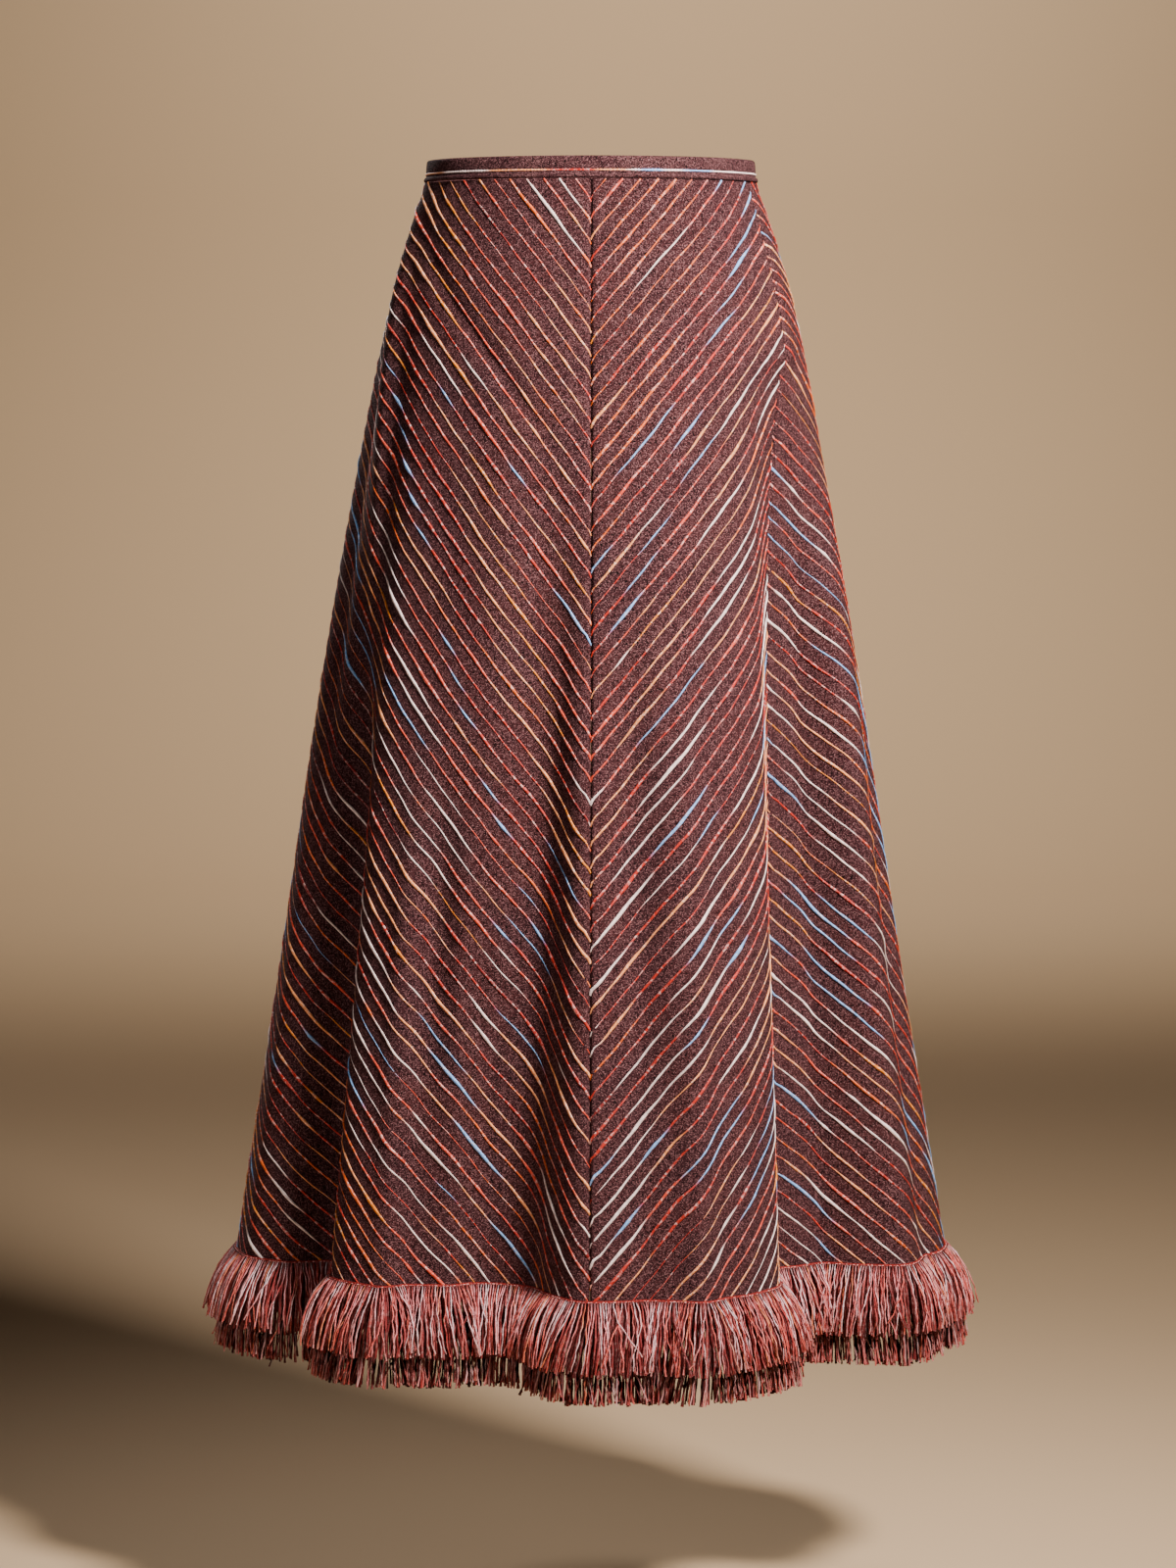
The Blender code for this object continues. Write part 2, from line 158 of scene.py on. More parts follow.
def sideNormals(points, closed):
    # outward unit normals of an outline that runs counter-clockwise seen from above
    if closed:
        along = np.roll(points, -1, 0) - np.roll(points, 1, 0)
    else:
        along = np.gradient(points, axis=0)
    along /= np.linalg.norm(along, axis=1)[:, None]
    return np.column_stack([along[:, 1], -along[:, 0]])


def heightAt(drop):
    return form["bandTop"] - drop


def fromTo(pair, share):
    return pair[0] + (pair[1] - pair[0]) * share


def atDrop(points, drop):
    # points seen from above, brought to their height
    return np.column_stack([points, np.full(len(points), heightAt(drop))])


def arcLength(points):
    # how far each point lies from the first, along the line through them
    return np.concatenate([[0], np.cumsum(np.linalg.norm(np.diff(points, axis=0), axis=1))])


def newObject(name, data):
    item = bpy.data.objects.new(name, data)
    bpy.context.scene.collection.objects.link(item)
    return item


def meshObject(name, points, faces, edges=()):
    mesh = bpy.data.meshes.new(name)
    mesh.from_pydata([tuple(p) for p in points], list(edges), list(faces))
    mesh.update()
    return newObject(name, mesh)


def gridFaces(rows, columns, wrapRows=False, wrapColumns=False):
    # faces between rows and columns of points, which may close on themselves
    return [(r * columns + c, (r + 1) % rows * columns + c,
             (r + 1) % rows * columns + (c + 1) % columns, r * columns + (c + 1) % columns)
            for r in range(rows - (not wrapRows)) for c in range(columns - (not wrapColumns))]


def shadeSmooth(item, angle=None):
    item.data.shade_smooth()
    if angle is not None:
        item.data.set_sharp_from_angle(angle=math.radians(angle))


def faceOutward(item):
    shape = bmesh.new()
    shape.from_mesh(item.data)
    bmesh.ops.recalc_face_normals(shape, faces=shape.faces)
    shape.to_mesh(item.data)
    shape.free()


def paint(item, material):
    item.data.materials.clear()
    item.data.materials.append(material)


def pointAttribute(mesh, name, kind, values):
    if kind == "FLOAT_COLOR":
        values = np.column_stack([values, np.ones(len(values))])
    layer = mesh.attributes.new(name, kind, "POINT")
    key = {"FLOAT": "value", "FLOAT_VECTOR": "vector", "FLOAT_COLOR": "color"}[kind]
    layer.data.foreach_set(key, np.asarray(values, float).ravel())


def plainMesh(item):
    # turns what the modifiers make into a mesh of its own
    made = bpy.data.meshes.new_from_object(item.evaluated_get(bpy.context.evaluated_depsgraph_get()))
    made.name = item.name
    result = newObject(item.name + "Made", made)
    name = item.name
    bpy.data.objects.remove(item)
    result.name = name
    return result


def triangleCount(item):
    return sum(len(p.vertices) - 2 for p in item.data.polygons)


class Branch:
    # one output in a node tree, with the sums that Python writes as operators
    def __init__(self, board, socket):
        self.board = board
        self.socket = socket

    def __add__(self, other):
        return self.board.sum("ADD", self, other)

    def __radd__(self, other):
        return self.board.sum("ADD", other, self)

    def __sub__(self, other):
        return self.board.sum("SUBTRACT", self, other)

    def __mul__(self, other):
        return self.board.sum("MULTIPLY", self, other)

    def __rmul__(self, other):
        return self.board.sum("MULTIPLY", other, self)


class Board:
    # builds one node tree, of a material or of geometry nodes
    def __init__(self, tree):
        self.tree = tree

    def node(self, kind, settings=None, sockets=None, output=0):
        made = self.tree.nodes.new(kind)
        for key, value in (settings or {}).items():
            setattr(made, key, value)
        for key, value in (sockets or {}).items():
            if isinstance(value, Branch):
                self.tree.links.new(value.socket, made.inputs[key])
            else:
                made.inputs[key].default_value = value
        return Branch(self, made.outputs[output])

    def sum(self, operation, first, second):
        return self.node("ShaderNodeMath", {"operation": operation}, {0: first, 1: second})

    def mix(self, share, first, second, blend="MIX"):
        settings = {"data_type": "RGBA", "blend_type": blend}
        return self.node("ShaderNodeMix", settings, {0: share, 6: first, 7: second}, 2)

    def where(self):
        # the place on the object
        return self.node("ShaderNodeTexCoord", None, None, 3)

    def noise(self, where, scale, detail=2.0, roughness=0.5):
        sockets = {"Vector": where, "Scale": scale, "Detail": detail, "Roughness": roughness}
        return self.node("ShaderNodeTexNoise", None, sockets)

    def between(self, value, low, high):
        # 0 below low, 1 above high, smooth between
        return self.node("ShaderNodeMapRange", {"interpolation_type": "SMOOTHSTEP"},
                         {0: value, 1: low, 2: high, 3: 0.0, 4: 1.0})


def newMaterial(name, roughness, shine=0.5, metallic=0.0):
    material = bpy.data.materials.new(name)
    material.use_nodes = True
    board = Board(material.node_tree)
    shader = material.node_tree.nodes["Principled BSDF"]
    for key, value in (("Roughness", roughness), ("Metallic", metallic), ("Specular IOR Level", shine)):
        shader.inputs[key].default_value = value
    return material, board, shader


def plug(board, branch, shader, socket):
    board.tree.links.new(branch.socket, shader.inputs[socket])


def dress(board, shader, colour, height, strength, distance):
    # a finish's colour, and the relief on it
    plug(board, colour, shader, "Base Color")
    bump = board.node("ShaderNodeBump", None, {"Strength": strength, "Distance": distance, "Height": height})
    plug(board, bump, shader, "Normal")


def newGeometryTree(name, inputs):
    tree = bpy.data.node_groups.new(name, "GeometryNodeTree")
    tree.interface.new_socket("Geometry", in_out="INPUT", socket_type="NodeSocketGeometry")
    kinds = {float: "NodeSocketFloat", int: "NodeSocketInt", type(None): "NodeSocketMaterial"}
    for label, value in inputs.items():
        socket = tree.interface.new_socket(label, in_out="INPUT", socket_type=kinds[type(value)])
        if value is not None:
            socket.default_value = value
    tree.interface.new_socket("Geometry", in_out="OUTPUT", socket_type="NodeSocketGeometry")
    board = Board(tree)
    entry = tree.nodes.new("NodeGroupInput")
    return tree, board, {s.name: Branch(board, s) for s in entry.outputs if s.name}


def closeGeometryTree(board, geometry, material):
    solid = board.node("GeometryNodeRealizeInstances", None, {"Geometry": geometry})
    painted = board.node("GeometryNodeSetMaterial", None, {"Geometry": solid, "Material": material})
    leave = board.tree.nodes.new("NodeGroupOutput")
    board.tree.links.new(painted.socket, leave.inputs["Geometry"])


def runTree(item, tree, values):
    modifier = item.modifiers.new(tree.name, "NODES")
    modifier.node_group = tree
    for socket in tree.interface.items_tree:
        if socket.in_out == "INPUT" and socket.name in values:
            modifier[socket.identifier] = values[socket.name]
    return plainMesh(item)


def named(board, name, kind="FLOAT"):
    return board.node("GeometryNodeInputNamedAttribute", {"data_type": kind}, {"Name": name})


crepeLook = {
    "ground": (0.051, 0.0132, 0.0139),
    "plum": (0.040, 0.0113, 0.0134),
    # near-black painted shade for the sunken gaps between the crepe's pebbles
    "gap": (0.002, 0.0007, 0.0007),
    "light": (0.24, 0.105, 0.105),
    "pebble": 1300.0,
    "grain": 1500.0,
    "cloud": 26.0,
    "bump": 0.0006,
}


def makeCrepe(name, look):
    material, board, shader = newMaterial(name, 0.9, shine=0.08)
    where = board.where()
    grain = board.noise(where, look["grain"], 2.0, 0.6)
    drift = board.node("ShaderNodeTexNoise", None, {"Vector": where, "Scale": look["pebble"], "Detail": 1.0}, 1)
    shifted = board.node("ShaderNodeVectorMath", {"operation": "MULTIPLY_ADD"}, {0: drift, 1: (0.0004,) * 3, 2: where})
    cells = {"Vector": shifted, "Scale": look["pebble"], "Randomness": 0.72}
    edge = board.node("ShaderNodeTexVoronoi", None, cells)
    fibre = board.node("ShaderNodeSeparateColor", None,
                       {"Color": board.node("ShaderNodeTexVoronoi", None, cells, 1)})
    cloud = board.noise(where, look["cloud"], 3.0, 0.5)
    ground = board.mix(board.between(cloud, 0.35, 0.65), (*look["ground"], 1), (*look["plum"], 1))
    heather = board.mix(board.between(fibre, 0.30, 1.05) * board.between(grain, 0.32, 0.60), ground,
                        (*look["light"], 1))
    # the sunken gaps between the pebbles are darkened to near black: painted shade
    withGapShade = board.mix(board.between(edge + 0.35 * grain, 0.55, 0.94), heather, (*look["gap"], 1))
    dress(board, shader, withGapShade, 0.4 * grain - edge, 0.9, look["bump"])
    return material


def makeYarn(name, roughness, grain, dark, highlightShare):
    # the dye lies in the colour attribute; fine hairs and plies break it up, and pale streaks along the plies are
    # painted highlights
    material, board, shader = newMaterial(name, roughness, shine=0.28)
    where = board.where()
    dye = board.node("ShaderNodeAttribute", {"attribute_name": "dye"})
    hairs = board.noise(where, grain, 2.0, 0.6)
    streaks = board.noise(where, grain * 0.26, 4.0, 0.68)
    # pale streaks mixed into the dye: painted highlights on the plies
    withPaintedHighlights = board.mix(board.between(streaks, 0.49, 0.66) * highlightShare, dye, (0.98, 0.74, 0.66, 1))
    shaded = board.mix(board.between(hairs, 0.62, 0.30) * dark, withPaintedHighlights, (0.16, 0.03, 0.02, 1), "MULTIPLY")
    dress(board, shader, shaded, hairs + streaks, 0.8, 0.0004)
    return material


def makeMetal(name):
    material, board, shader = newMaterial(name, 0.34, metallic=0.85)
    where = board.where()
    wear = board.noise(where, 900.0, 3.0)
    colour = board.mix(board.between(wear, 0.55, 0.75), (0.10, 0.045, 0.035, 1), (0.36, 0.22, 0.18, 1))
    plug(board, 0.28 + wear * 0.2, shader, "Roughness")
    dress(board, shader, colour, wear, 0.15, 0.0001)
    return material


crepe = makeCrepe("heatheredBrownCrepe", crepeLook)
bandLook = dict(crepeLook, ground=(0.077, 0.0285, 0.0285), cloud=40.0)
bandCrepe = makeCrepe("waistbandCrepe", bandLook)
# the last number sets how much painted highlight the pale streaks add
inlayYarn = makeYarn("inlaidSlubYarn", 0.50, 1500.0, 0.55, 0.55)
fringeYarn = makeYarn("fringeYarn", 0.55, 1300.0, 0.45, 0.12)
enamel = makeMetal("brownEnamelledMetal")
print("finishes made")

# creases pressed or pulled into the cloth: place and drop at the top and at the
# bottom, depth (minus is a trough) and half width, in metres
creases = [
    # the hollow left of the centre front, its foot and the edge that rises from it
    ("leftHollow", 0.82, 0.14, "leftHollow", 0.66, 0.79, -0.0112, 0.023),
    ("leftRise", 0.76, 0.26, "leftRise", 0.88, 0.79, 0.0060, 0.015),
    ("leftHollow", 0.10, 0.40, "leftRidge", 0.95, 0.79, 0.0030, 0.013),
    # soft trough and ridge on the front's left
    ("leftRidge", 0.22, 0.38, "leftRidge", 0.14, 0.79, -0.0080, 0.017),
    ("leftRidge", 0.64, 0.42, "leftRidge", 0.60, 0.79, 0.0056, 0.012),
    ("leftFoldEdge", 0.78, 0.40, "leftFoldEdge", 0.90, 0.79, 0.0050, 0.011),
    # the left fold's upper end, and the deep shade beside it
    ("leftSide", 0.95, -0.06, "leftValley", 0.25, 0.40, 0.0056, 0.012),
    ("leftSide", 0.30, -0.02, "leftSide", 0.70, 0.52, -0.0060, 0.016),
    ("leftFlute", 0.75, 0.30, "leftFlute", 0.60, 0.79, -0.0085, 0.018),
    ("leftSide", 0.60, 0.34, "leftSide", 0.40, 0.79, 0.0034, 0.015),
    # a faint slanting drag line on the left hip
    ("leftValley", 0.20, 0.045, "leftHollow", 0.60, 0.19, -0.0026, 0.008),
    # front right of the centre
    ("centreFront", 0.56, 0.28, "centreFront", 0.64, 0.79, -0.0080, 0.016),
    ("frontRightSwell", 0.36, 0.34, "frontRightSwell", 0.26, 0.79, 0.0056, 0.014),
    ("centreFront", 0.95, 0.58, "centreFront", 0.99, 0.79, -0.0040, 0.009),
    ("frontRightSlope", 0.30, 0.24, "frontRightSlope", 0.10, 0.79, 0.0026, 0.013),
    # the valley behind the right fold and the ridge beyond it
    ("rightSeam", 0.74, 0.14, "rightSeam", 0.92, 0.79, -0.0150, 0.019),
    ("rightFluteNear", 0.62, 0.20, "rightFluteNear", 0.74, 0.79, 0.0090, 0.016),
    ("rightFlute", 0.34, 0.36, "rightFlute", 0.26, 0.79, -0.0048, 0.012),
    # hidden sides and the back
    ("rightBack", 0.30, 0.36, "rightBack", 0.10, 0.79, -0.0044, 0.014),
    ("backRightRidge", -0.20, 0.28, "backRightRidge", -0.35, 0.79, 0.0044, 0.013),
    ("backRightSlope", 0.10, 0.40, "backRightSlope", 0.30, 0.79, -0.0052, 0.014),
    ("backRightSlope", 0.75, 0.50, "backRightSlope", 0.80, 0.79, 0.0034, 0.013),
    ("backLeftRidge", 0.40, 0.30, "backLeftRidge", 0.55, 0.79, -0.0048, 0.013),
    ("backLeftSlope", 0.30, 0.34, "backLeftSlope", 0.10, 0.72, 0.0040, 0.013),
    ("leftBack", -0.20, 0.40, "leftBack", -0.40, 0.79, 0.0038, 0.012),
]


# shares of a crease's length over which it sets in, goes on past its foot and fades out
# again, which it does where its foot lies above this drop
creaseFade = {"in": 0.35, "past": 1.25, "out": 0.5, "hem": 0.78}


def measuredLine(first, last, count, drop):
    # places a little beyond both ends and their distance along the cloth from the first one
    places = np.linspace(first - 1.5, last + 1.5, count)
    arc = arcLength(outline(places, drop))
    return places, arc - np.interp(first, places, arc)


def creaseLift(arcs, drop, line):
    lift = np.zeros(len(arcs))
    for topName, topShare, topDrop, lowName, lowShare, lowDrop, depth, width in creases:
        share = (drop - topDrop) / (lowDrop - topDrop)
        if share <= 0.0 or share >= creaseFade["past"]:
            continue
        top = foldNames.index(topName) + topShare
        low = foldNames.index(lowName) + lowShare
        fade = min(1.0, share / creaseFade["in"])
        if lowDrop < creaseFade["hem"]:
            fade *= min(1.0, max(0.0, (creaseFade["past"] - share) / creaseFade["out"]))
        fade = fade * fade * (3 - 2 * fade)
        for turns in (-1, 0, 1):
            place = top + (low - top) * share + turns * foldCount
            if line[0][0] < place < line[0][-1]:
                lift += depth * fade * np.exp(-((arcs - np.interp(place, *line)) / width) ** 2)
    return lift


def hemLine(count, drop, out=0.0):
    # the creased cloth's outer face all the way round, and its normals
    line = measuredLine(0, foldCount, form["hemSamples"], drop)
    places = np.linspace(0, foldCount, count, endpoint=False)
    points = outline(places, drop)
    lift = creaseLift(np.interp(places, *line), drop, line) + out
    points = points + sideNormals(points, True) * lift[:, None]
    return points, sideNormals(points, True)


# the four gores, each a thin shell cut from seam to seam
goreSettings = {
    "rows": 150,
    "rowCrowding": 1.12,
    "columnWidth": 0.0056,
    "edgeColumns": (0.0, 0.0004, 0.0009, 0.0016, 0.0028),
    "seamDip": 0.0028,
    "seamWidth": 0.0013,
    "seamGap": 0.00012,
    "samples": 360,
    "smoothing": 15,
}
# first and last seam, side of the straight grain, slope of the yarns (degrees) and their pitch
gores = {
    "front_right": ("centreFront", "rightSeam", 1, 50.6, 0.00915),
    "back_right": ("rightSeam", "centreBack", -1, 65.0, 0.00930),
    "back_left": ("centreBack", "leftSeam", 1, 69.5, 0.00850),
    "front_left": ("leftSeam", "centreFront", -1, 54.2, 0.00905),
}


def placeRange(startName, endName):
    first = foldNames.index(startName)
    last = foldNames.index(endName)
    return first, last + foldCount if last <= first else last


def goreGrid(startName, endName, creased=True):
    settings = goreSettings
    first, last = placeRange(startName, endName)
    span = form["hemDrop"] - form["panelTop"]
    drops = form["panelTop"] + span * np.linspace(0, 1, settings["rows"]) ** settings["rowCrowding"]
    samples = np.linspace(first, last, settings["samples"])
    hemLength = arcLength(outline(samples, form["hemDrop"]))[-1]
    inner = max(8, int(hemLength / settings["columnWidth"]))
    edge = np.array(settings["edgeColumns"]) + settings["seamGap"] / 2
    rows = []
    for drop in drops:
        points = outline(samples, drop)
        arc = arcLength(points)
        middle = np.linspace(edge[-1], arc[-1] - edge[-1], inner + 2)[1:-1]
        arcs = np.concatenate([edge, middle, arc[-1] - edge[::-1]])
        places = np.interp(arcs, arc, samples)
        points = outline(places, drop)
        normals = sideNormals(points, False)
        fromEdge = np.minimum(arcs, arc[-1] - arcs)
        line = measuredLine(first, last, settings["samples"], drop)
        lift = creaseLift(arcs, drop, line) if creased else np.zeros(len(arcs))
        lift -= settings["seamDip"] * np.exp(-(fromEdge / settings["seamWidth"]) ** 2)
        points = points + normals * lift[:, None]
        rows.append(atDrop(points, drop))
    grid = np.array(rows)
    across = np.gradient(grid, axis=1)
    down = np.gradient(grid, axis=0)
    normals = np.cross(down, across)
    normals /= np.linalg.norm(normals, axis=2)[:, :, None]
    return grid, normals


def flatPattern(grid, grain):
    # where each point of a gore lies on the flat cloth; the grain's seam is its straight edge
    if grain < 0:
        grid = grid[:, ::-1]
    steps = np.linalg.norm(np.diff(grid, axis=1), axis=2)
    down = np.linalg.norm(np.diff(grid, axis=0), axis=2)
    downAt = np.concatenate([np.zeros((1, down.shape[1])), np.cumsum(down, axis=0)])
    middleDown = (downAt[:, 1:] + downAt[:, :-1]) / 2
    spread = np.array([np.gradient(steps[:, c], middleDown[:, c]) for c in range(steps.shape[1])]).T
    reach = goreSettings["smoothing"]
    kernel = np.ones(reach) / reach
    padded = np.pad(spread, ((reach // 2, reach // 2), (0, 0)), mode="edge")
    spread = np.array([np.convolve(padded[:, c], kernel, "valid") for c in range(spread.shape[1])]).T
    turn = np.cumsum(spread, axis=1) - spread / 2
    x, y = [np.concatenate([np.zeros((len(grid), 1)), np.cumsum(steps * way(turn), axis=1)], axis=1)
            for way in (np.cos, np.sin)]
    y -= downAt[:, :1]
    if grain < 0:
        return x[:, ::-1], y[:, ::-1]
    return x, y


def makeGore(name, grid):
    gore = meshObject(name + "_cloth", grid.reshape(-1, 3), gridFaces(*grid.shape[:2]))
    wall = gore.modifiers.new("wall", "SOLIDIFY")
    wall.thickness = form["clothWall"]
    wall.offset = -1.0
    wall.use_even_offset = True
    gore = plainMesh(gore)
    shadeSmooth(gore, 50)
    paint(gore, crepe)
    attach(gore, "skirt")
    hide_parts(name)
    return gore


# space-dyed slub yarns laid in the crepe, on the bias of each gore
inlay = {
    "stray": 0.07,
    "wander": 0.00028,
    "girth": (0.00042, 0.00124),
    "height": 0.66,
    "sink": 0.16,
    "step": 0.0042,
    "sides": 6,
    "seed": 41,
    "mapLength": 0.80,
    "mapRows": 96,
    "skeinLength": 4.0,
    "skeinUse": 3.0,
    "skeinStep": 0.017,
    "dips": (0.014, 0.075),
    "shortest": 0.006,
    "ends": 0.02,
    "wanderWaves": (95, 231),
    "fibreWaves": (830, 1470),
    "fineShare": 0.14,
    "fineSize": 0.55,
}
# colour and how often it comes, as the dyer dips the skein
dyes = {
    "flame": ((0.52, 0.020, 0.007), 0.19),
    "coral": ((0.70, 0.060, 0.022), 0.19),
    "orange": ((0.78, 0.110, 0.003), 0.16),
    "peach": ((0.94, 0.32, 0.10), 0.16),
    "shell": ((0.97, 0.76, 0.70), 0.17),
    "sky": ((0.22, 0.46, 0.86), 0.08),
    "madder": ((0.24, 0.010, 0.007), 0.05),
    "marigold": ((0.82, 0.22, 0.003), 0.05),
}


def dyeRun(chance, length, shortest, longest):
    # colours along a yarn: dips of uneven length that bleed into each other
    colours, weights = zip(*dyes.values())
    stops = [0.0]
    picks = [chance.choices(colours, weights)[0]]
    while stops[-1] < length:
        stops.append(stops[-1] + chance.uniform(shortest, longest))
        picks.append(chance.choices(colours, weights)[0])
    return np.array(stops), np.array(picks)


def dyeAt(run, places):
    stops, picks = run
    bleed = 0.0035
    knots = np.column_stack([stops - bleed, stops + bleed]).ravel()
    tones = np.repeat(picks, 2, axis=0)
    tones = np.concatenate([tones[:1], tones])[:-1]
    return np.column_stack([np.interp(places, knots, tones[:, k]) for k in range(3)])


def slubAt(chance, run, start, length):
    # uneven thickness along a yarn, from 0 to 1: thin where one dip ends and the next begins
    sizes = np.array([(0.25 + chance.random() ** 1.2) * (1.1 if pick[2] > 0.3 else 0.9) for pick in run[1]])
    lengths = np.diff(run[0], append=run[0][-1] + 0.05)
    knots = np.concatenate([run[0], run[0] + lengths * 0.5])
    values = np.concatenate([0.15 * sizes, sizes])
    order = np.argsort(knots)
    return knots[order] - start, values[order]


def gridPoint(field, path):
    # value of a field on a gore's grid at a path's uneven rows and columns
    rows, columns = path.T
    r = np.clip(np.floor(rows).astype(int), 0, field.shape[0] - 2)
    c = np.clip(np.floor(columns).astype(int), 0, field.shape[1] - 2)
    rowShare = (rows - r)[:, None]
    columnShare = (columns - c)[:, None]
    upper = field[r, c] * (1 - columnShare) + field[r, c + 1] * columnShare
    lower = field[r + 1, c] * (1 - columnShare) + field[r + 1, c + 1] * columnShare
    return upper * (1 - rowShare) + lower * rowShare


def stripePaths(x, y, grain, slope, pitch, chance):
    slope = math.radians(slope)
    field = (y - x * math.tan(slope)) * math.cos(slope) / pitch
    rowCount, columnCount = field.shape
    columns = np.arange(columnCount)
    numbers = range(int(math.floor(field.min())), int(math.ceil(field.max())) + 1)
    for number in numbers:
        value = number + chance.uniform(-inlay["stray"], inlay["stray"])
        path = []
        for r in range(rowCount):
            line = field[r] if grain < 0 else field[r, ::-1]
            if line[0] <= value <= line[-1]:
                at = np.interp(value, line, columns)
                path.append((r, at if grain < 0 else columnCount - 1 - at))
        for edge in (0, columnCount - 1):
            side = field[::-1, edge]
            if side[0] < value < side[-1]:
                r = rowCount - 1 - np.interp(value, side, np.arange(rowCount))
                path.append((r, float(edge)))
        path.sort()
        if len(path) > 4:
            yield np.array(path)


def sweepProfile(board, curve, sides, size, place, material):
    # sweeps a flattened circle along the curves, maps it for baking and ends the tree
    circle = board.node("GeometryNodeCurvePrimitiveCircle", None, {"Resolution": sides, "Radius": 1.0})
    scale = board.node("ShaderNodeCombineXYZ", None, {"X": size[0], "Y": size[1], "Z": 1.0})
    flattened = board.node("GeometryNodeTransform", None, {"Geometry": circle, "Scale": scale})
    share = board.node("GeometryNodeSplineParameter")
    profile = board.node("GeometryNodeStoreNamedAttribute", {"data_type": "FLOAT", "domain": "POINT"},
                         {"Geometry": flattened, "Name": "round", "Value": share})
    swept = board.node("GeometryNodeCurveToMesh", None,
                       {"Curve": curve, "Profile Curve": profile, "Scale": named(board, "girth"), "Fill Caps": True})
    spot = board.node("ShaderNodeCombineXYZ", None, {"X": place[0], "Y": place[1], "Z": 0.0})
    mapped = board.node("GeometryNodeStoreNamedAttribute", {"data_type": "FLOAT2", "domain": "CORNER"},
                        {"Geometry": swept, "Name": "OFBake", "Value": spot})
    smooth = board.node("GeometryNodeSetShadeSmooth", None, {"Geometry": mapped})
    closeGeometryTree(board, smooth, material)


def inlayTree():
    inputs = {"Height": 0.5, "Sides": 6, "Row Height": 0.01, "Material": None}
    tree, board, entry = newGeometryTree("sweepInlay", inputs)
    curve = board.node("GeometryNodeMeshToCurve", None, {"Mesh": entry["Geometry"]})
    faced = board.node("GeometryNodeSetCurveNormal", {"mode": "FREE"},
                       {"Curve": curve, "Normal": named(board, "facing", "FLOAT_VECTOR")})
    high = named(board, "mapV") + named(board, "round") * entry["Row Height"]
    sweepProfile(board, faced, entry["Sides"], (entry["Height"], 1.0), (named(board, "mapU"), high), entry["Material"])
    return tree


def yarnObject(name, paths):
    # one mesh of loose paths, each a dictionary of arrays along the yarn
    item = meshObject(name, np.concatenate([p["points"] for p in paths]), [],
                      [(i, i + 1) for start, p in zip(np.cumsum([0] + [len(q["points"]) for q in paths]), paths)
                       for i in range(start, start + len(p["points"]) - 1)])
    kinds = {"dye": "FLOAT_COLOR", "facing": "FLOAT_VECTOR"}
    for key in paths[0]:
        if key != "points":
            pointAttribute(item.data, key, kinds.get(key, "FLOAT"), np.concatenate([p[key] for p in paths]))
    return item


sweepInlay = inlayTree()


def evenly(path, grid, step):
    # the same path with its points at even steps over the cloth
    points = gridPoint(grid, path)
    along = arcLength(points)
    marks = np.linspace(0, along[-1], max(3, int(along[-1] / step)))
    return np.column_stack([np.interp(marks, along, path[:, k]) for k in (0, 1)])


def makeStripes(name, grid, normals, x, y, gore, seed):
    chance = random.Random(seed)
    skein = dyeRun(chance, inlay["skeinLength"], *inlay["dips"])
    paths = []
    for number, path in enumerate(stripePaths(x, y, *gore[2:], chance)):
        path = evenly(path, grid, inlay["step"])
        points = gridPoint(grid, path)
        facing = gridPoint(normals, path)
        facing /= np.linalg.norm(facing, axis=1)[:, None]
        along = arcLength(points)
        if along[-1] < inlay["shortest"]:
            continue
        side = np.cross(facing, np.gradient(points, axis=0))
        side /= np.linalg.norm(side, axis=1)[:, None]
        phase = chance.uniform(0, fullTurn)
        slow, quick = inlay["wanderWaves"]
        wander = np.sin(along * slow + phase) + 0.6 * np.sin(along * quick + 2 * phase)
        ends = inlay["ends"]
        wander *= inlay["wander"] * np.clip(along / ends, 0, 1) * np.clip((along[-1] - along) / ends, 0, 1)
        used = inlay["skeinUse"]
        start = (number * inlay["skeinStep"] if chance.random() < 0.5 else chance.uniform(0, used)) % used
        stops, sizes = slubAt(chance, skein, start, along[-1])
        slub = np.interp(along, stops, sizes)
        slow, quick = inlay["fibreWaves"]
        fine = 0.10 * np.sin(along * slow + phase) + 0.08 * np.sin(along * quick + 3 * phase)
        full = 1.0 if chance.random() > inlay["fineShare"] else inlay["fineSize"]
        girth = full * fromTo(inlay["girth"], np.clip(slub + fine, 0, 1.2))
        colours = dyeAt(skein, along + start) * (0.86 + 1.2 * fine)[:, None]
        row = len(paths)
        lift = (girth * (inlay["height"] - inlay["sink"]) * 0.5)[:, None]
        paths.append({
            "points": points + side * wander[:, None] + facing * lift,
            "facing": facing,
            "girth": girth,
            "dye": colours,
            "mapU": 0.01 + 0.98 * np.minimum(along / inlay["mapLength"], 1.0),
            "mapV": np.full(len(points), (row + 0.1) / inlay["mapRows"]),
        })
    yarns = yarnObject(name + "_stripes", paths)
    yarns = runTree(yarns, sweepInlay, {
        "Height": inlay["height"], "Sides": inlay["sides"], "Row Height": 0.75 / inlay["mapRows"],
        "Material": inlayYarn,
    })
    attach(yarns, "skirt")
    print(name, "stripes", len(paths), "triangles", triangleCount(yarns))
    return yarns


def patternArea(x, y):
    # area inside the flat pattern's outline
    ring = [np.concatenate([side[0], side[:, -1], side[-1, ::-1], side[::-1, 0]]) for side in (x, y)]
    return abs(float((ring[0] * np.roll(ring[1], -1) - np.roll(ring[0], -1) * ring[1]).sum())) / 2


for index, (name, settings) in enumerate(gores.items()):
    grid, normals = goreGrid(*settings[:2])
    x, y = flatPattern(goreGrid(*settings[:2], False)[0], settings[2])
    gore = makeGore(name, grid)
    stripes = makeStripes(name, grid, normals, x, y, settings, inlay["seed"] + index)
    flatArea = patternArea(x, y)
    width, length = x.max() - x.min(), y.max() - y.min()
    round(min(flatArea, width * length), 4)
    print(name, "cloth", triangleCount(gore), "flat", round(width, 3), round(length, 3), round(flatArea, 4))

